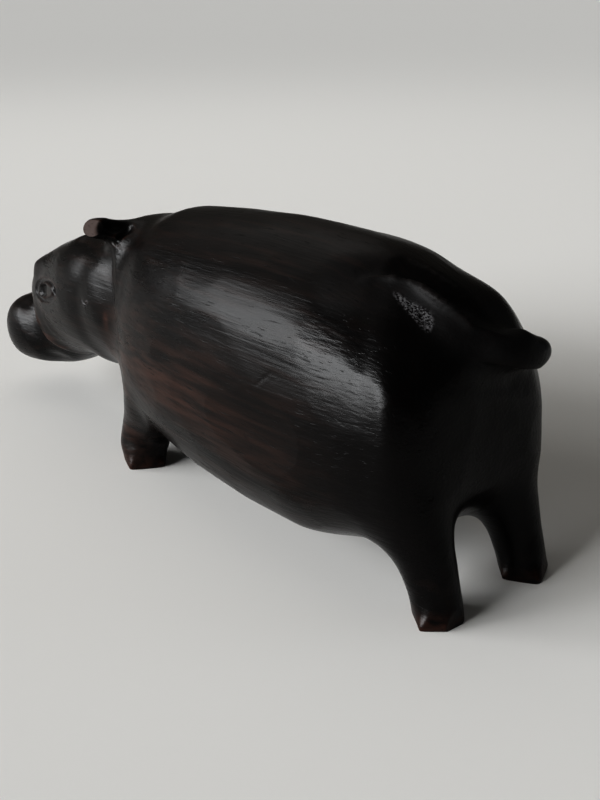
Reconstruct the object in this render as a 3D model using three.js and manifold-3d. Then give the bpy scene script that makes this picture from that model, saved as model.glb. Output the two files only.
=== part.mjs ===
// A carved hardwood hippopotamus, all in one piece: a barrel body, a low-hung head with a
// flared muzzle, stub ears, four short legs with flat soles, and a thick tail that curls down
// over the rump. Millimetres, +Z up. The nose points along -Y, the tail lies at +Y, and the
// animal's left side is +X.
import * as THREE from "three";
import { mergeVertices } from "three/addons/utils/BufferGeometryUtils.js";
import Module from "manifold-3d";

const wasm = await Module();
wasm.setup();

// Driving dimensions. Places along Y are measured from midway between the fore and hind feet.
// The carving is hand cut, so its left and right sides aren't quite alike.
const HIND_FEET = [{ x: 10.6, y: 44.3 }, { x: -14.3, y: 42.6 }];
const FORE_FEET = [{ x: 10.2, y: -50 }, { x: -10.5, y: -48.5 }];
const EARS = [{ side: 1, height: 54.2 }, { side: -1, height: 50.8 }];

// Rings from front to back (body) or back to front (head): place, half width, top and bottom.
const BODY = [
  { y: -54, width: 17, top: 59.5, bottom: 13 },
  { y: -30, width: 21.5, top: 60.8, bottom: 7.8 },
  { y: -5, width: 23.5, top: 62, bottom: 5.5 },
  { y: 14, width: 24, top: 61.3, bottom: 5.6 },
  { y: 29, width: 22.6, top: 57.3, bottom: 9.5 },
  { y: 42.5, width: 19.8, top: 49.5, bottom: 18 },
];
const CRANIUM = [
  { y: -36, width: 14, top: 54.5, bottom: 26 },
  { y: -55, width: 15.5, top: 53, bottom: 21.5 },
  { y: -72, width: 15.5, top: 49.4, bottom: 19 },
  { y: -90, width: 12.5, top: 43.8, bottom: 16.5 },
  { y: -107, width: 9.5, top: 37, bottom: 21 },
];
const MUZZLE = [
  { y: -76, width: 11, top: 36, bottom: 17 },
  { y: -96, width: 10.3, top: 29, bottom: 10.6 },
  { y: -109, width: 11.8, top: 26.5, bottom: 8.3 },
  { y: -119.5, width: 11, top: 24.5, bottom: 9.2 },
];

const UP = new THREE.Vector3(0, 0, 1);
const BACK = new THREE.Vector3(0, 1, 0);
const ROUND = [2, 2];

// A superellipse's point at an angle: exponent 2 is round, larger is squarer.
function superellipse(angle, exponent) {
  const across = Math.cos(angle);
  const along = Math.sin(angle);
  const reach = (Math.abs(across) ** exponent + Math.abs(along) ** exponent) ** (-1 / exponent);
  return { across: across * reach, along: along * reach };
}

// A closed rounded form. The rings of a sphere slide along a path, each stretched to the size
// there: [side, up, down] from the path. `reference` is roughly up across the path, `section`
// is the squareness of the rings' upper and lower halves, and `ends` is how blunt the start and
// the finish are. `facets` counts the facets round a ring and along the path.
function loft({ path, sizes, reference, section = ROUND, ends = ROUND, facets }) {
  const spine = new THREE.CatmullRomCurve3(path.map((p) => new THREE.Vector3(...p)));
  const size = new THREE.CatmullRomCurve3(sizes.map((s) => new THREE.Vector3(...s)));
  const form = new THREE.SphereGeometry(1, ...facets);
  const points = form.getAttribute("position");
  for (let i = 0; i < points.count; i++) {
    const unit = new THREE.Vector3().fromBufferAttribute(points, i);
    const latitude = Math.asin(THREE.MathUtils.clamp(unit.y, -1, 1));
    const end = superellipse(latitude, latitude < 0 ? ends[0] : ends[1]);
    const ring = superellipse(Math.atan2(unit.z, unit.x), unit.z > 0 ? section[0] : section[1]);
    const t = (end.along + 1) / 2;
    const here = size.getPoint(t);
    const tangent = spine.getTangent(t);
    const side = new THREE.Vector3().crossVectors(tangent, reference).normalize();
    const up = new THREE.Vector3().crossVectors(side, tangent);
    const point = spine.getPoint(t);
    point.addScaledVector(side, ring.across * end.across * here.x);
    point.addScaledVector(up, ring.along * end.across * (ring.along > 0 ? here.y : here.z));
    points.setXYZ(i, point.x, point.y, point.z);
  }
  return solid(form);
}

// A closed geometry as a solid that can be joined and cut.
function solid(geometry) {
  geometry.deleteAttribute("normal");
  geometry.deleteAttribute("uv");
  const merged = mergeVertices(geometry);
  const index = merged.getIndex();
  const triangles = [];
  for (let i = 0; i < index.count; i += 3) {
    const corners = [index.getX(i), index.getX(i + 1), index.getX(i + 2)];
    if (new Set(corners).size === 3) triangles.push(...corners);
  }
  const mesh = new wasm.Mesh({
    numProp: 3,
    vertProperties: new Float32Array(merged.getAttribute("position").array),
    triVerts: new Uint32Array(triangles),
  });
  return new wasm.Manifold(mesh);
}

// The path and sizes of a form that lies along Y, from its rings.
function level(rings) {
  return {
    path: rings.map(({ y, top, bottom }) => [0, y, (top + bottom) / 2]),
    sizes: rings.map(({ width, top, bottom }) => [width, (top - bottom) / 2, (top - bottom) / 2]),
    reference: UP,
  };
}

function body() {
  return loft({ ...level(BODY), section: [2.2, 2.9], ends: [8, 8], facets: [44, 36] });
}

function cranium() {
  return loft({ ...level(CRANIUM), section: [2.6, 2.4], ends: [2, 4], facets: [32, 24] });
}

function muzzle() {
  return loft({ ...level(MUZZLE), section: [2.6, 2.6], ends: [2, 3], facets: [28, 20] });
}

// A leg ends a little below the ground, where it is cut off flat.
const LEG_END = -3;

function hindLeg({ x, y }) {
  const side = Math.sign(x);
  return loft({
    path: [[side * 12, y - 12, 36], [side * 12.5, y - 7, 20], [x, y - 2.5, 8], [x, y, LEG_END]],
    sizes: [[8, 10, 10], [6.8, 7.2, 7.2], [5, 5.3, 5.3], [4.3, 4.4, 4.4]],
    reference: BACK,
    section: [2.5, 2.5],
    ends: [2, 6],
    facets: [20, 16],
  });
}

function foreLeg({ x, y }) {
  const side = Math.sign(x);
  return loft({
    path: [[side * 11, y + 12, 36], [side * 11.5, y + 8, 18], [x, y + 1, 8], [x, y, LEG_END]],
    sizes: [[7, 9, 9], [6, 8, 8], [4.4, 5.8, 5.8], [4.4, 5.8, 5.8]],
    reference: BACK,
    section: [3, 3],
    ends: [2, 6],
    facets: [20, 16],
  });
}

// A stub ear points outwards and a little forwards, and its tip is cut off square.
function ear({ side, height }) {
  return loft({
    path: [[side * 3, -54, height - 3], [side * 9, -55.5, height - 1.7], [side * 17, -57.5, height]],
    sizes: [[5, 5, 5], [3.8, 4.2, 4.2], [2.7, 2.9, 2.9]],
    reference: UP,
    ends: [2, 5],
    facets: [14, 10],
  });
}

// The tail stands out as a ridge from the top of the rump and comes free at its tip.
function tail() {
  return loft({
    path: [
      [9, 20, 57],
      [6.5, 27, 56],
      [4, 33, 53],
      [1.5, 38.5, 49],
      [-2.5, 42.5, 45.5],
      [-9, 44.5, 44],
      [-16, 43.5, 43.5],
    ],
    sizes: [2, 3.2, 3.6, 3.8, 3.6, 2.4].map((radius) => [radius, radius, radius]),
    reference: BACK,
    ends: [2, 2.5],
    facets: [14, 20],
  });
}

function carving() {
  const parts = [body(), cranium(), muzzle(), tail()];
  parts.push(...HIND_FEET.map(hindLeg), ...FORE_FEET.map(foreLeg), ...EARS.map(ear));
  const joined = parts.reduce((all, part) => all.add(part));
  const depth = 20;
  const ground = solid(new THREE.BoxGeometry(400, 400, depth).translate(0, 0, -depth / 2));
  return joined.subtract(ground);
}

// A solid as a geometry whose origin is the middle of its footprint.
function geometryOf(shape) {
  const mesh = shape.getMesh();
  const geometry = new THREE.BufferGeometry();
  geometry.setAttribute("position", new THREE.BufferAttribute(mesh.vertProperties, mesh.numProp));
  geometry.setIndex(new THREE.BufferAttribute(mesh.triVerts, 1));
  geometry.computeBoundingBox();
  const middle = geometry.boundingBox.getCenter(new THREE.Vector3());
  geometry.translate(-middle.x, -middle.y, -geometry.boundingBox.min.z);
  return geometry;
}

const wood = new THREE.MeshStandardMaterial({ color: 0x1d1512, roughness: 0.42, metalness: 0 });
const hippo = new THREE.Mesh(geometryOf(carving()), wood);
hippo.name = "hippo_carving";

const group = new THREE.Group();
group.add(hippo);
export default group;
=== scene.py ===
"""A carved dark hardwood hippopotamus on a pale surface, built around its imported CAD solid."""
import bpy
import bmesh
import math
import numpy as np
from mathutils import Matrix, Vector


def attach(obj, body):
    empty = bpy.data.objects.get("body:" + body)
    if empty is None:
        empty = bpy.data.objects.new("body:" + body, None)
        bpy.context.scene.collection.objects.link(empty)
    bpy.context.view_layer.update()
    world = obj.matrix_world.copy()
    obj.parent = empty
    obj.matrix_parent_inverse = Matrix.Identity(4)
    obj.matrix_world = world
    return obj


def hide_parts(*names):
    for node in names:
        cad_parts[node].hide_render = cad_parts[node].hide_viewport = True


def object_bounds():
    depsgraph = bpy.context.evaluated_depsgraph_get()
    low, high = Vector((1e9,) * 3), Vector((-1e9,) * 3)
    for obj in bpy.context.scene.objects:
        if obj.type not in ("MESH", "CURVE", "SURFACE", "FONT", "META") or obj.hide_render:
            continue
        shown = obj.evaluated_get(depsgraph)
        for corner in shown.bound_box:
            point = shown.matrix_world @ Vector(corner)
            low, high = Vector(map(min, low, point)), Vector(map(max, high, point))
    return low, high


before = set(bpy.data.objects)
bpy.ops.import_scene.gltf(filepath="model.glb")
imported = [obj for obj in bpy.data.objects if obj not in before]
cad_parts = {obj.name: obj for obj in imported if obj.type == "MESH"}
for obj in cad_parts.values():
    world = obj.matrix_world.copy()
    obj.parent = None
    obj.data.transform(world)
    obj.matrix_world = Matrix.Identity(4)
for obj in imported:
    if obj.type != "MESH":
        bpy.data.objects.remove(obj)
CAD_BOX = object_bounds()
NODE = "hippo_carving"
MM = 0.001

# Places on the animal, in millimetres in the CAD's frame: the nose points along -Y and the
# animal's left side is +X. A sole is its middle, its half sizes and its turn in degrees.
SOLES = {
    "hind_left": (10.2, 79.4, 5.3, 4.5, 50),
    "hind_right": (-14.1, 78.8, 4.6, 4.2, 30),
    "fore_left": (11.0, -12.8, 5.6, 4.6, 62),
    "fore_right": (-11.0, -12.8, 5.2, 4.8, -45),
}
EYE = (12.6, -51.5, 33.2)
CHEEK = [
    (5, -68.5, 33), (8.5, -65, 28), (10.5, -61.5, 22.5),
    (10.5, -57.5, 18.5), (9, -52, 16), (5, -48, 14),
]
EAR_TIPS = [(17.0, -21.7, 54.2), (-17.0, -21.7, 50.8)]
NECK_EDGE = [
    (8, -21, 52), (13.4, -18, 47), (16, -14.3, 39),
    (17.8, -10.7, 31), (18.2, -9.5, 28), (15, -10, 21),
]
TAIL_CREST = [
    (11, 57.5, 57), (8.2, 60, 58.3), (5.6, 65, 58.2),
    (4.3, 71, 55.4), (2, 76.5, 51.6), (-3, 80, 49),
]
TAIL_LEFT_HOLLOW = [(12, 61, 56), (9.2, 65.5, 55.5), (8, 70, 52), (7, 76, 46)]
TAIL_RIGHT_HOLLOW = [(3, 58, 59), (0.6, 65, 57), (-0.6, 71, 53.5), (-2, 76, 50)]
TAIL_EDGE = [(5, 79, 46.5), (-1, 80.5, 44.3), (-6, 80.5, 42.9), (-11, 80, 41.7), (-15, 78, 42)]
HAUNCH_EDGE = [(10, 63, 56), (15.5, 70, 48.5), (19, 73.5, 40), (19.5, 74.5, 32), (19, 74, 20)]
FLANK_STREAK = [
    (13.5, -17, 6), (15, -15, 17), (17, -12, 28), (20.5, 0, 32),
    (23, 27, 30), (23.5, 43, 26), (22, 61, 22),
]
CRACK = [(23.7, 40, 28), (23.7, 44, 25.5), (23.4, 44, 22.5), (22.4, 43.5, 18.5)]

# Which way the left ear's flat cut faces. The right ear's is its mirror image.
EAR_CUT = (0.83, 0.42, 0.36)

# How far below the ground the feet may run before they are cut off level with it.
BELOW_GROUND = 3.0

# The size of the coarse surface's quads, the knife facets, and the seeds of the two random draws.
VOXEL = 0.7
FACET_COUNT = 420
FACET_DEPTH = 0.16
FACET_REACH = 5.0
FACET_SEED = 7
TEAR_SEED = 11


# ---------------------------------------------------------------- camera, floor and light

def aim(obj, target):
    """Turns a camera or light so that it looks at a point."""
    way = Vector(target) - obj.location
    obj.rotation_mode = "QUATERNION"
    obj.rotation_quaternion = way.to_track_quat("-Z", "Y")


def heading(azimuth, elevation):
    """The unit vector at an angle round from -Y towards +X, and an angle above the horizon."""
    a, e = math.radians(azimuth), math.radians(elevation)
    return Vector((math.sin(a) * math.cos(e), -math.cos(a) * math.cos(e), math.sin(e)))


def add_camera():
    """Behind the animal's left hip and a little above it, close enough for strong perspective."""
    data = bpy.data.cameras.new("camera")
    data.sensor_width = 36.0
    data.lens = 51.75
    data.clip_start = 0.01
    camera = bpy.data.objects.new("camera", data)
    bpy.context.scene.collection.objects.link(camera)
    camera.location = (0.1436, 0.1979, 0.1070)
    aim(camera, camera.location - heading(139.5, 20.5))
    bpy.context.scene.camera = camera


def add_light(name, azimuth, elevation, distance, size, power, color):
    """A soft rectangular light at a distance, aimed at the middle of the animal."""
    data = bpy.data.lights.new(name, "AREA")
    data.shape = "RECTANGLE"
    data.size, data.size_y = size
    data.energy = power
    data.color = color
    light = bpy.data.objects.new(name, data)
    bpy.context.scene.collection.objects.link(light)
    light.location = heading(azimuth, elevation) * distance
    aim(light, (0, 0, 0.03))


def add_daylight(name, azimuth, elevation, spread, strength, color):
    """Light from far away, as soft as a bright area some degrees across."""
    data = bpy.data.lights.new(name, "SUN")
    data.energy = strength
    data.angle = math.radians(spread)
    data.color = color
    light = bpy.data.objects.new(name, data)
    bpy.context.scene.collection.objects.link(light)
    light.location = heading(azimuth, elevation)
    aim(light, (0, 0, 0))


def add_lights():
    """A wide low window to the front left, a faint fill from the rear right, and a dim ceiling."""
    panes = [(40, 17, 26, 1.1), (66, 17, 26, 2.0), (90, 17, 20, 2.1)]
    for pane, (azimuth, elevation, spread, strength) in enumerate(panes):
        add_daylight(f"window_{pane}", azimuth, elevation, spread, strength, (0.97, 0.985, 1.0))
    add_daylight("fill", 238, 24, 40, 0.13, (0.82, 0.9, 1.0))
    add_light("ceiling", -15, 62, 0.8, (0.9, 0.9), 0.95, (1.0, 0.985, 0.96))
    add_room()


def add_room():
    """The room's own light: warm and dim, and darkest behind the animal."""
    world = bpy.data.worlds.new("world")
    bpy.context.scene.world = world
    world.use_nodes = True
    tree = world.node_tree
    direction = tree.nodes.new("ShaderNodeTexCoord").outputs["Generated"]
    toward = tree.nodes.new("ShaderNodeVectorMath")
    toward.operation = "DOT_PRODUCT"
    toward.inputs[1].default_value = heading(10, 40)
    tree.links.new(direction, toward.inputs[0])
    strength = tree.nodes.new("ShaderNodeMapRange")
    strength.inputs["From Min"].default_value = -0.6
    strength.inputs["To Min"].default_value = 0.03
    strength.inputs["To Max"].default_value = 0.1
    tree.links.new(toward.outputs["Value"], strength.inputs["Value"])
    background = tree.nodes["Background"]
    background.inputs["Color"].default_value = (1.0, 0.95, 0.86, 1)
    tree.links.new(strength.outputs["Result"], background.inputs["Strength"])


def set_view():
    """Plain colours with deep blacks."""
    bpy.context.scene.view_settings.view_transform = "Standard"
    bpy.context.scene.view_settings.look = "High Contrast"


def add_floor():
    """A flat, pale, matt surface that reaches far past every view's edge."""
    mesh = bpy.data.meshes.new("floor")
    half = 30.0
    corners = [(-half, -half, 0), (half, -half, 0), (half, half, 0), (-half, half, 0)]
    mesh.from_pydata(corners, [], [(0, 1, 2, 3)])
    floor = bpy.data.objects.new("floor", mesh)
    bpy.context.scene.collection.objects.link(floor)
    paper = bpy.data.materials.new("pale_card")
    paper.use_nodes = True
    shader = paper.node_tree.nodes["Principled BSDF"]
    shader.inputs["Base Color"].default_value = (0.72, 0.71, 0.69, 1)
    shader.inputs["Roughness"].default_value = 0.85
    shader.inputs["Specular IOR Level"].default_value = 0.0
    mesh.materials.append(paper)


# ---------------------------------------------------------------- the carving's surface

class Surface:
    """An evenly meshed closed surface as arrays, in millimetres."""

    def __init__(self, mesh):
        count = len(mesh.vertices)
        flat = np.empty(count * 3, np.float32)
        mesh.vertices.foreach_get("co", flat)
        self.points = flat.reshape(-1, 3).astype(float) / MM
        pairs = np.empty(len(mesh.edges) * 2, np.int32)
        mesh.edges.foreach_get("vertices", pairs)
        self.edges = pairs.reshape(-1, 2)
        corners = np.empty(len(mesh.loops), np.int32)
        mesh.loops.foreach_get("vertex_index", corners)
        self.quads = corners.reshape(-1, 4)
        ends = self.edges.ravel()
        self.valence = np.bincount(ends, minlength=count).astype(float)

    def spread(self, values):
        """Each point's neighbours' mean of a value or a vector."""
        a, b = self.edges.T
        count = len(self.valence)
        if values.ndim == 1:
            total = np.bincount(a, values[b], count) + np.bincount(b, values[a], count)
            return total / self.valence
        return np.stack([self.spread(values[:, k]) for k in range(values.shape[1])], 1)

    def normals(self):
        """Each point's unit normal, from the quads round it."""
        p = self.points[self.quads]
        cross = np.cross(p[:, 2] - p[:, 0], p[:, 3] - p[:, 1])
        total = np.zeros_like(self.points)
        for corner in range(4):
            for axis in range(3):
                total[:, axis] += np.bincount(self.quads[:, corner], cross[:, axis], len(total))
        return total / np.linalg.norm(total, axis=1)[:, None]

    def relax(self, rounds, share=1.0):
        """Smooths without shrinking. share is how much, for the whole or for each point."""
        share = np.asarray(share, float)
        share = share[:, None] if share.ndim else share
        for step in range(rounds * 2):
            strength = 0.5 if step % 2 == 0 else -0.52
            self.points += share * strength * (self.spread(self.points) - self.points)

    def melt(self, rounds, share=1.0):
        """Smooths and lets corners fill, as a blend between two forms."""
        share = np.asarray(share, float)
        share = share[:, None] if share.ndim else share
        for _ in range(rounds):
            self.points += share * 0.5 * (self.spread(self.points) - self.points)

    def push(self, amount):
        """Moves each point along its normal, outwards where amount is above 0."""
        self.points += self.normals() * np.asarray(amount)[:, None]

    def write(self, mesh):
        """Puts the points back into the mesh, in metres."""
        mesh.vertices.foreach_set("co", (self.points * MM).astype(np.float32).ravel())
        mesh.update()


def remeshed(mesh, voxel):
    """A closed mesh again as even quads."""
    obj = bpy.data.objects.new("blank", mesh)
    bpy.context.scene.collection.objects.link(obj)
    modifier = obj.modifiers.new("even", "REMESH")
    modifier.mode = "VOXEL"
    modifier.voxel_size = voxel * MM
    return applied(obj)


def subdivided(mesh):
    """A mesh again with each face smoothly divided once."""
    obj = bpy.data.objects.new("blank", mesh)
    bpy.context.scene.collection.objects.link(obj)
    modifier = obj.modifiers.new("finer", "SUBSURF")
    modifier.levels = 1
    modifier.render_levels = 1
    return applied(obj)


def applied(obj):
    """The mesh that an object's modifiers make. The object goes."""
    bpy.context.view_layer.update()
    graph = bpy.context.evaluated_depsgraph_get()
    made = bpy.data.meshes.new_from_object(obj.evaluated_get(graph))
    bpy.data.objects.remove(obj)
    return made


def near(points, centre, radii):
    """1 at a centre, falling smoothly to 0 at the radii along x, y and z."""
    reach = np.linalg.norm((points - np.array(centre)) / np.array(radii, float), axis=1)
    return np.clip(1 - reach ** 2, 0, 1) ** 2


def span(values, low, high):
    """0 below low, 1 above high, smooth between."""
    t = np.clip((values - low) / (high - low), 0, 1)
    return t * t * (3 - 2 * t)


def from_line(points, line):
    """Each point's offset from the nearest place on a line, and that place's share of its length."""
    line = np.array(line, float)
    lengths = np.linalg.norm(np.diff(line, axis=0), axis=1)
    before = np.concatenate([[0], np.cumsum(lengths)])
    best = np.full(len(points), np.inf)
    offsets = np.zeros_like(points)
    along = np.zeros(len(points))
    for k, (a, b) in enumerate(zip(line[:-1], line[1:])):
        t = np.clip((points - a) @ (b - a) / lengths[k] ** 2, 0, 1)
        offset = points - (a + t[:, None] * (b - a))
        gap = np.linalg.norm(offset, axis=1)
        closer = gap < best
        best[closer] = gap[closer]
        offsets[closer] = offset[closer]
        along[closer] = ((before[k] + t * lengths[k]) / before[-1])[closer]
    return offsets, along


def line_distance(points, line):
    """Each point's distance to a line of points."""
    offsets, _ = from_line(points, line)
    return np.linalg.norm(offsets, axis=1)


def ridge(points, line, width):
    """1 along a line, falling smoothly to 0 at a width from it and swelling from its two ends."""
    offsets, along = from_line(points, line)
    across = np.clip(1 - (np.linalg.norm(offsets, axis=1) / width) ** 2, 0, 1) ** 2
    return across * np.clip(np.sin(np.pi * along), 0, 1) ** 0.7


def ledge(points, line, facing, width, lip, ends=0.4):
    """1 just past a line on the side that it faces, fading over a width and to its two ends."""
    offsets, along = from_line(points, line)
    past = offsets @ np.array(facing)
    fade = np.clip(1 - (np.linalg.norm(offsets, axis=1) / width) ** 2, 0, 1) ** 1.5
    return fade * span(past, -lip, lip) * np.clip(np.sin(np.pi * along), 0, 1) ** ends


def mirrored(line):
    """The same line on the animal's other side."""
    return [(-x, y, z) for x, y, z in line]


def block(form, centre, half, axis, turn):
    """Joins on a box, turned about an axis by some degrees."""
    place = Matrix.Translation(Vector(centre) * MM) @ Matrix.Rotation(math.radians(turn), 4, axis)
    size = Matrix.Diagonal((*(2 * h * MM for h in half), 1))
    bmesh.ops.create_cube(form, size=1, matrix=place @ size)


def lump(form, centre, radii):
    """Joins on an ellipsoid."""
    place = Matrix.Translation(Vector(centre) * MM) @ Matrix.Diagonal((*(r * MM for r in radii), 1))
    bmesh.ops.create_icosphere(form, subdivisions=5, radius=1, matrix=place)


def blank():
    """The CAD solid with fuller haunches, right flank, neck, ears and tail tip, brow and feet."""
    form = bmesh.new()
    form.from_mesh(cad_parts[NODE].data)
    haunches = [
        ((11.5, 65.5, 34), (10.8, 12, 16)),
        ((12.3, 70, 25), (7.2, 8.6, 14)),
        ((-12, 66, 34), (11, 13, 16)),
        ((-13.5, 71, 25), (7.4, 8.8, 14)),
        ((-11, 42, 42.5), (11.5, 30, 16.8)),
        ((-11.5, 59.5, 41.3), (10.8, 17.2, 14.3)),
    ]
    front = [
        ((0, -17, 41), (14, 15, 15.8)),
        ((0, -22, 36), (17, 18, 17.6)),
        ((1, -32, 30), (12.5, 15, 12.5)),
    ]
    tail_end = [((-4.5, 79.3, 47), (6.5, 3.9, 3.4)), ((-9.3, 79.8, 45), (5.8, 3.5, 3.2))]
    ears = [((x * 0.86, y - 0.2, z - 0.6), (4.2, 3.3, 3.0)) for x, y, z in EAR_TIPS]
    for centre, radii in haunches + front + tail_end + ears:
        lump(form, centre, radii)
    block(form, (0, -49.3, 38.1), (10.4, 13.9, 5.7), "X", 24)
    for x, y, half_x, half_y, turn in SOLES.values():
        block(form, (x, y, -0.3), (half_x, half_y, BELOW_GROUND), "Z", turn)
        lump(form, (x, y, 3), (half_x, half_y, 6))
    mesh = bpy.data.meshes.new("blank")
    form.to_mesh(mesh)
    form.free()
    return mesh


def shape_body(form):
    """Melts the joints between the blank's masses, and fairs the legs, rump and neck."""
    p = form.points
    ears = sum(near(p, tip, (9, 8, 7)) for tip in EAR_TIPS)
    tail_end = near(p, (-9, 80, 46), (15, 9, 9))
    fine = np.clip(1.8 * (ears + tail_end) + 0.7 * ridge(p, TAIL_CREST, 4.5), 0, 1)
    feet = 1 - span(p[:, 2], 0.3, 4)
    kept = np.maximum(0.85 * fine, 0.9 * feet)
    form.melt(30, 1 - kept)
    legs = (1 - span(form.points[:, 2], 24, 44)) * span(form.points[:, 2], 1.4, 5)
    hind = legs * span(form.points[:, 1], 48, 60)
    fore = legs * (1 - span(form.points[:, 1], 4, 16)) * span(form.points[:, 1], -30, -20)
    form.melt(90, np.clip(hind + 0.7 * fore, 0, 1))
    form.push(0.95 * legs)
    rump = span(form.points[:, 1], 50, 62) * (1 - kept)
    form.melt(80, 0.9 * rump * (1 - 0.8 * near(form.points, (2, 72, 54), (14, 14, 10))))
    neck = near(form.points, (0, -18, 40), (40, 17, 40))
    form.melt(170, np.clip(1.6 * neck, 0, 1) * (1 - kept))


def shape_tail(form):
    """A crested ridge with a hollow down each side of it, and a sharper edge to the left haunch."""
    form.push(-0.7 * ridge(form.points, TAIL_LEFT_HOLLOW, 3.8))
    form.push(0.6 * ridge(form.points, HAUNCH_EDGE, 4.5))
    form.push(-2.6 * ridge(form.points, TAIL_RIGHT_HOLLOW, 5.0))
    form.push(1.6 * ridge(form.points, TAIL_CREST, 1.8))


def shape_head(form):
    """Raises the cheeks, flares the muzzle, and hollows the jaw and chin."""
    for side in (1, -1):
        cheek = [(side * x, y + 2.5, z + 1) for x, y, z in CHEEK]
        flare = near(form.points, (side * 8, -79, 22), (6, 6, 8))
        hollow = near(form.points, (side * 6.5, -61, 12.5), (5, 7, 4.5))
        form.push(0.8 * ridge(form.points, cheek, 4.0) + 0.25 * flare - 1.3 * hollow)
    form.push(-0.7 * near(form.points, (0, -68, 8), (15, 15, 6)))


def cut_cheeks(form):
    """The snout is cut back all round behind a crisp edge, so it comes out from under the cheeks."""
    hood = CHEEK[::-1] + [(0, -69.5, 34.5)] + mirrored(CHEEK)
    form.push(-1.3 * ledge(form.points, hood, (0, -0.8, -0.6), 8.5, 0.5))


def cut_beside_crest(form):
    """The rump is cut back behind a crisp edge on the right of the tail's crest."""
    form.push(-1.0 * ledge(form.points, TAIL_CREST, (-0.84, -0.43, 0.25), 5.0, 0.5, 0.6))
    form.push(0.35 * ridge(form.points, TAIL_CREST, 1.5))


def cut_under_tail(form):
    """The rump is cut back below the tail's free end."""
    form.push(-1.5 * ledge(form.points, TAIL_EDGE, (0, 0, -1), 6, 0.6, 1.3))


def facet(form):
    """Shallow knife scoops, longer along the grain, laid out by a seeded draw."""
    draw = np.random.default_rng(FACET_SEED)
    picks = form.points[draw.choice(len(form.points), FACET_COUNT, replace=False)]
    stretch = np.array([1, 0.55, 1])
    closest = np.full(len(form.points), np.inf)
    for pick in picks:
        gap = np.linalg.norm((form.points - pick) * stretch, axis=1)
        closest = np.minimum(closest, gap)
    scoop = FACET_DEPTH * np.clip(1 - (closest / FACET_REACH) ** 2, 0, 1)
    for _ in range(3):
        scoop = form.spread(scoop)
    form.push(-scoop)


def eye_parts(points, side):
    """The outline, pupil and drilled rear corner of one eye, each from 0 to 1."""
    back = points[:, 1] - EYE[1]
    up = (points[:, 2] - EYE[2] - 0.19 * back) / 2.5
    close = (side * points[:, 0] > 8) & (np.abs(points[:, 2] - EYE[2]) < 6)
    outline = np.clip(1 - ((np.hypot(back / 7.4, up) - 1) / 0.2) ** 2, 0, 1) * close
    pupil = np.clip(1.4 - 1.4 * (((back + 1.2) / 3.2) ** 4 + (up / 0.68) ** 4), 0, 1) * close
    drilled = near(points, (side * 14.7, -44.2, 34.7), (3, 1.6, 1.3))
    return outline, pupil, drilled


def cut_eyes(form):
    """An incised almond round a sunk squarish pupil, with a drilled rear corner, on each side."""
    for side in (1, -1):
        outline, pupil, drilled = eye_parts(form.points, side)
        form.push(-0.8 * pupil - 0.5 * outline - 1.4 * drilled)


def cut_muzzle(form):
    """Two nostrils, and a short mouth line across the front of the muzzle."""
    for side in (1, -1):
        form.push(-1.3 * near(form.points, (side * 5, -81.5, 23), (1.6, 5, 1.6)))
    mouth = [(-4, -83.5, 15.5), (0, -84, 15.5), (4, -83.5, 15.5)]
    form.push(-0.8 * ridge(form.points, mouth, 1.0))


def cut_neck(form):
    """The neck is cut back a little from the front edge of the shoulders."""
    for line in (NECK_EDGE, mirrored(NECK_EDGE)):
        form.push(-0.5 * ledge(form.points, line, (0, -1, 0), 11, 1.0, 0.8))


def cut_ears(form):
    """Cuts each ear's tip off flat, scoops its back, and leaves a notch where it joins the neck."""
    for x, y, z in EAR_TIPS:
        side = math.copysign(1, x)
        plane = np.array((side * 16.4, y - 0.4, z))
        facing = np.array(EAR_CUT) * (side, 1, 1) / np.linalg.norm(EAR_CUT)
        past = np.clip((form.points - plane) @ facing, 0, None)
        past *= near(form.points, (x, y, z), (9, 9, 9)) > 0
        form.points -= past[:, None] * facing
        scoop = [(side * 16.6, y + 3.4, z), (side * 13, y + 3.6, z), (side * 8.5, y + 5, z)]
        form.push(-1.7 * ridge(form.points, scoop, 2.9))
        notch = [(side * 14.5, y + 2.3, z - 3), (side * 12.6, y + 4.1, z - 3), (side * 9, y + 4.6, z)]
        form.push(-1.0 * ridge(form.points, notch, 1.2))


def crack(points):
    """The faint trace, in dashes, that the line of the crack in the left flank leaves on it."""
    offsets, along = from_line(points, CRACK)
    gap = np.linalg.norm(offsets, axis=1)
    dashes = np.clip(0.45 + np.sin(along * 31), 0, 1)
    return dashes * np.clip(1 - (gap / 0.6) ** 2, 0, 1) * np.sin(np.pi * along)


def cut_nick(form):
    """A fine knife nick high on the left flank."""
    form.push(-0.14 * ridge(form.points, [(23.8, 45, 37), (23.4, 49.5, 41)], 0.45))


def torn_and_glint_places(points):
    """Where the wood is scraped raw: beside the tail, behind the left ear and on the cheek. Beside
    the tail the pale colour is also a painted glint.
    """
    x, y, z = EAR_TIPS[0]
    # Beside the tail: a real gouge, whose pale colour is also a painted glint.
    torn_and_glint = ridge(points, [(8.6, 63.5, 56), (8.2, 66.8, 54.2), (7.9, 69.8, 52.2), (8, 73, 50)], 1.3)
    torn_and_glint += ridge(points, [(8, 67, 54), (7, 70.5, 52.8), (7.2, 72.5, 50.8)], 1.5)
    torn_and_glint += 0.8 * ridge(points, [(x - 3.5, y + 4, z - 1.5), (x - 5, y + 5.5, z - 6)], 2.0)
    chip = [(15.7, -29.9, 35.8), (16.2, -27, 35.3), (16.3, -24.8, 36.9)]
    return np.clip(torn_and_glint, 0, 1) + ridge(points, chip, 0.9)


def tear(form):
    """Ragged gouge marks where the wood is scraped."""
    draw = np.random.default_rng(TEAR_SEED)
    ragged = form.spread(draw.normal(0, 1, len(form.points)))
    form.push(0.27 * torn_and_glint_places(form.points) * ragged)


def round_sole_edges(form):
    """Draws the feet in a little just above the ground."""
    low = 1 - span(form.points[:, 2], 0.0, 1.2)
    form.push(-0.35 * low ** 2)


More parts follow.
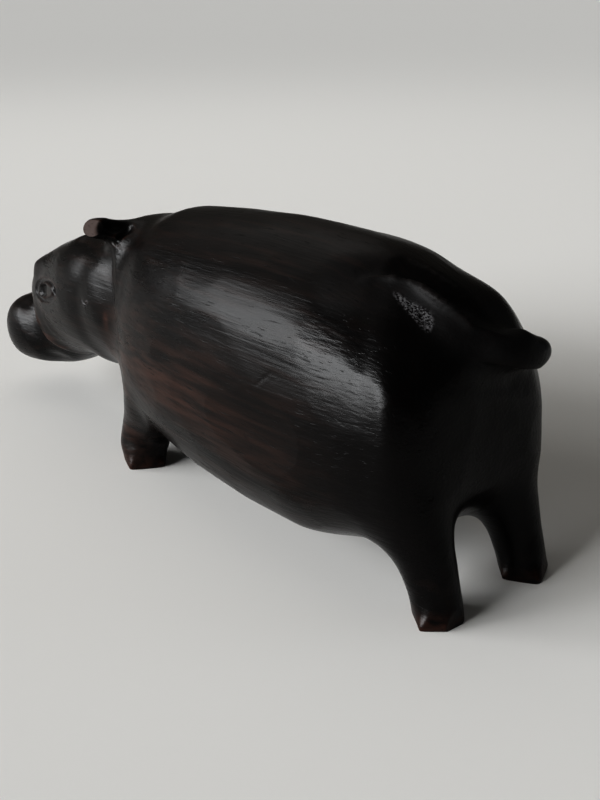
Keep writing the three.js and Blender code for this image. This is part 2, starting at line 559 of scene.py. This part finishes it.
def wear_marks(form):
    """Where the wood is worn: ridges, feet, the cheeks' edges and a rubbed spot on the neck."""
    p = form.points
    blurred = p.copy()
    for _ in range(8):
        blurred = form.spread(blurred)
    stands_out = ((p - blurred) * form.normals()).sum(1)
    wear = 0.45 * span(stands_out, 0.05, 0.22) * (1 - 0.9 * span(p[:, 1], 50, 62))
    wear += 0.7 * (1 - span(p[:, 2], 0.3, 3.5))
    rim = [(x, y + 1.5, z + 0.5) for x, y, z in CHEEK]
    wear += 0.8 * (ridge(p, rim, 3.0) + ridge(p, mirrored(rim), 3.0))
    wear += near(p, (15.9, -18.5, 33.3), (3, 1.6, 2.8))
    return wear


def cut_end_grain(form):
    """1 on the ears' flat cuts."""
    shown = np.zeros(len(form.points))
    for x, y, z in EAR_TIPS:
        facing = form.normals() @ (np.array(EAR_CUT) * (np.sign(x), 1, 1))
        here = near(form.points, (x * 0.97, y, z), (3.5, 5, 5)) > 0
        shown += span(facing, 0.93, 0.99) * here
    return shown


def painted_shade_and_crack(p, pupil, drilled):
    """Painted shade on the rear of the body, in the hollow behind the left ear, under the left jaw
    and in the left eye's pupil and drilled corner, with the crack's own dark trace.
    """
    x, y, z = EAR_TIPS[0]
    # Painted shade over the rear of the body, which faces away from the window.
    shade_and_crack = span(p[:, 1], 50, 70) * span(p[:, 2], 4, 12)
    # Painted shade in the hollow behind the left ear.
    shade_and_crack += near(p, (x - 4, y + 3.6, z), (6, 2.6, 4)) > 0.05
    # Painted shade under the left jaw.
    shade_and_crack += near(p, (7.5, -61, 13), (6, 9, 5))
    # Painted shade in the left eye's pupil and drilled corner; the crack's dashes are the wood's own
    # mark.
    return shade_and_crack + pupil + drilled + crack(p)


def surface_values(form):
    """What the wood's material needs at each point, from 0 to 1, by the attribute's name."""
    p = form.points
    # Only the left eye's pupil and drilled corner are darkened, as painted shade.
    outline, pupil, drilled = eye_parts(p, 1)
    streak = np.clip(1 - (line_distance(p, FLANK_STREAK) / 11) ** 2, 0, 1)
    values = {
        "wear": wear_marks(form),
        "end_grain": cut_end_grain(form),
        "streak": streak * (1 - 0.75 * span(p[:, 1], 18, 55)),
        # Painted shade, plus the crack's dark trace.
        "shade_and_crack": painted_shade_and_crack(p, pupil, drilled),
        # Pale scraped wood, and beside the tail a painted glint.
        "scraped_and_glint": span(torn_and_glint_places(p), 0.2, 0.7) + 0.35 * outline,
        "dull": 1 - span(line_distance(p, TAIL_CREST), 4, 9),
    }
    return {name: np.clip(value, 0, 1) for name, value in values.items()}


def flat_soles(mesh):
    """Cuts the feet off level with the ground and closes each sole with one flat face."""
    form = bmesh.new()
    form.from_mesh(mesh)
    everything = form.verts[:] + form.edges[:] + form.faces[:]
    cut = bmesh.ops.bisect_plane(
        form, geom=everything, plane_co=(0, 0, 0), plane_no=(0, 0, -1), clear_outer=True
    )
    rim = [item for item in cut["geom_cut"] if isinstance(item, bmesh.types.BMEdge)]
    bmesh.ops.edgeloop_fill(form, edges=rim)
    bmesh.ops.recalc_face_normals(form, faces=form.faces[:])
    form.to_mesh(mesh)
    form.free()


def carve():
    """The whole carving's mesh: masses first, then the fine cuts, then the values for its wood."""
    mesh = remeshed(blank(), VOXEL)
    form = Surface(mesh)
    shape_body(form)
    shape_tail(form)
    shape_head(form)
    form.melt(3)
    form.write(mesh)
    mesh = subdivided(mesh)
    form = Surface(mesh)
    facet(form)
    cuts = [cut_cheeks, cut_beside_crest, cut_under_tail, cut_eyes, cut_muzzle, cut_neck, cut_ears]
    for cut in cuts + [cut_nick, tear]:
        cut(form)
    round_sole_edges(form)
    # The flanks, the muzzle's front and the near hind foot's back run a little past the CAD box.
    low, high = (np.array(corner) / MM for corner in CAD_BOX)
    form.points = np.clip(form.points, low - (0, 0, BELOW_GROUND), high)
    form.write(mesh)
    for name, values in surface_values(form).items():
        layer = mesh.attributes.new(name, "FLOAT", "POINT")
        layer.data.foreach_set("value", values.astype(np.float32))
    flat_soles(mesh)
    return mesh


def add_carving():
    """Puts the carving in place of its CAD node. The flat soles, with many corners, aren't smooth."""
    mesh = carve()
    obj = bpy.data.objects.new("hippo_wood", mesh)
    bpy.context.scene.collection.objects.link(obj)
    for face in mesh.polygons:
        face.use_smooth = len(face.vertices) < 8
    mesh.materials.clear()
    mesh.materials.append(dark_hardwood())
    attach(obj, "root")
    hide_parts(NODE)


# ---------------------------------------------------------------- the wood

NEAR_BLACK = (0.0022, 0.0018, 0.0018, 1)
DARK_BROWN = (0.0055, 0.004, 0.0036, 1)
WARM_BROWN = (0.012, 0.0068, 0.0055, 1)
STREAK_BROWN = (0.034, 0.0165, 0.012, 1)
RED_BROWN = (0.05, 0.02, 0.013, 1)
END_GRAIN = (0.055, 0.036, 0.03, 1)
# Pale scraped wood; beside the tail it is also a painted glint.
SCRAPED_AND_GLINT = (0.1, 0.098, 0.1, 1)
PORE = (0.001, 0.0008, 0.0008, 1)


class Nodes:
    """A short way to add and join a material's nodes."""

    def __init__(self, material):
        material.use_nodes = True
        self.tree = material.node_tree
        self.shader = self.tree.nodes["Principled BSDF"]

    def add(self, kind, settings=(), **inputs):
        """A new node, with its settings and its inputs' values or links."""
        node = self.tree.nodes.new(kind)
        for name, value in dict(settings).items():
            setattr(node, name, value)
        for name, value in inputs.items():
            self.set(node.inputs[name.replace("_", " ")], value)
        return node

    def set(self, socket, value):
        """Gives a socket a value, or links another socket to it."""
        if isinstance(value, bpy.types.NodeSocket):
            self.tree.links.new(value, socket)
        else:
            socket.default_value = value

    def noise(self, place, scale, detail=4.0, distortion=0.0):
        """A noise texture's value, 0 to 1."""
        node = self.add("ShaderNodeTexNoise", Vector=place, Scale=scale, Detail=detail)
        node.inputs["Distortion"].default_value = distortion
        return node.outputs["Fac"]

    def stretched(self, along):
        """Object coordinates squeezed along Y, so that a texture runs with the grain."""
        place = self.add("ShaderNodeTexCoord").outputs["Object"]
        return self.add("ShaderNodeMapping", Vector=place, Scale=(1, along, 1)).outputs["Vector"]

    def ramp(self, value, low, high):
        """0 below low, 1 above high, smooth between."""
        node = self.add("ShaderNodeMapRange", {"interpolation_type": "SMOOTHSTEP"}, Value=value)
        node.inputs["From Min"].default_value = low
        node.inputs["From Max"].default_value = high
        return node.outputs["Result"]

    def combined(self, operation, a, b):
        """The product or the sum of two values."""
        node = self.add("ShaderNodeMath", {"operation": operation})
        self.set(node.inputs[0], a)
        self.set(node.inputs[1], b)
        return node.outputs["Value"]

    def times(self, a, b):
        return self.combined("MULTIPLY", a, b)

    def plus(self, a, b):
        return self.combined("ADD", a, b)

    def mix(self, amount, first, second):
        """The first color, giving way to the second by an amount."""
        node = self.add("ShaderNodeMix", {"data_type": "RGBA"})
        self.set(node.inputs["Factor"], amount)
        self.set(node.inputs["A"], first)
        self.set(node.inputs["B"], second)
        return node.outputs["Result"]

    def attribute(self, name):
        """One of the carving's own values, from surface_values."""
        return self.add("ShaderNodeAttribute", {"attribute_name": name}).outputs["Fac"]


def wood_color(n, broad, grain, pores):
    """Near-black with brown grain, then the red streak, painted shade with the crack's trace, scrapes
    with a painted glint beside the tail, wear and end grain.
    """
    color = n.mix(n.ramp(broad, 0.42, 0.7), NEAR_BLACK, DARK_BROWN)
    color = n.mix(n.times(n.ramp(grain, 0.45, 0.75), 0.7), color, WARM_BROWN)
    red = n.times(n.attribute("streak"), n.ramp(grain, 0.25, 0.75))
    red = n.times(red, n.ramp(broad, 0.25, 0.6))
    color = n.mix(n.times(red, 0.8), color, STREAK_BROWN)
    # Painted shade on the rear, behind the left ear, under the jaw and in the left eye, and the
    # crack's dark trace.
    color = n.mix(n.times(n.attribute("shade_and_crack"), 0.92), color, NEAR_BLACK)
    # Pale flecks of scraped wood; beside the tail they are also a painted glint.
    flecks = n.ramp(n.noise(n.stretched(0.5), 3000, 2), 0.42, 0.6)
    color = n.mix(n.times(n.times(n.attribute("scraped_and_glint"), flecks), 0.8), color, SCRAPED_AND_GLINT)
    worn = n.times(n.attribute("wear"), n.ramp(grain, 0.3, 0.6))
    color = n.mix(n.times(worn, 0.6), color, RED_BROWN)
    color = n.mix(n.times(n.attribute("end_grain"), 0.85), color, END_GRAIN)
    return n.mix(n.times(pores, 0.75), color, PORE)


def wood_roughness(n, broad, pores):
    """Waxed to a sheen, and rougher where it is worn, cut, scraped or beside the tail's crest."""
    rough = n.plus(n.times(n.ramp(broad, 0.3, 0.7), 0.11), 0.25)
    rough = n.plus(rough, n.times(pores, 0.15))
    for name, more in (("wear", 0.12), ("end_grain", 0.35), ("scraped_and_glint", 0.15), ("dull", 0.35)):
        rough = n.plus(rough, n.times(n.attribute(name), more))
    return rough


def wood_relief(n, grain, pores):
    """Fine scratches and grain that stand up a little, and pores that lie below them."""
    scratches = n.noise(n.stretched(0.035), 1500, 3, 0.2)
    height = n.plus(scratches, n.times(grain, 0.8))
    height = n.plus(height, n.times(pores, -0.25))
    bump = n.add("ShaderNodeBump", Height=height, Strength=0.55, Distance=0.00012)
    return bump.outputs["Normal"]


def dark_hardwood():
    """Dense waxed wood whose broad figure, fine grain and pores all run along Y."""
    wood = bpy.data.materials.new("dark_hardwood")
    n = Nodes(wood)
    broad = n.noise(n.stretched(0.16), 95, 3)
    grain = n.noise(n.stretched(0.07), 620, 5, 0.3)
    pores = n.ramp(n.noise(n.stretched(0.09), 2100, 2), 0.63, 0.72)
    n.set(n.shader.inputs["Base Color"], wood_color(n, broad, grain, pores))
    n.set(n.shader.inputs["Roughness"], wood_roughness(n, broad, pores))
    n.set(n.shader.inputs["Normal"], wood_relief(n, grain, pores))
    n.shader.inputs["Specular IOR Level"].default_value = 0.15
    n.shader.inputs["Coat Weight"].default_value = 0.04
    n.shader.inputs["Coat Roughness"].default_value = 0.28
    return wood


add_camera()
add_lights()
set_view()
add_floor()
add_carving()
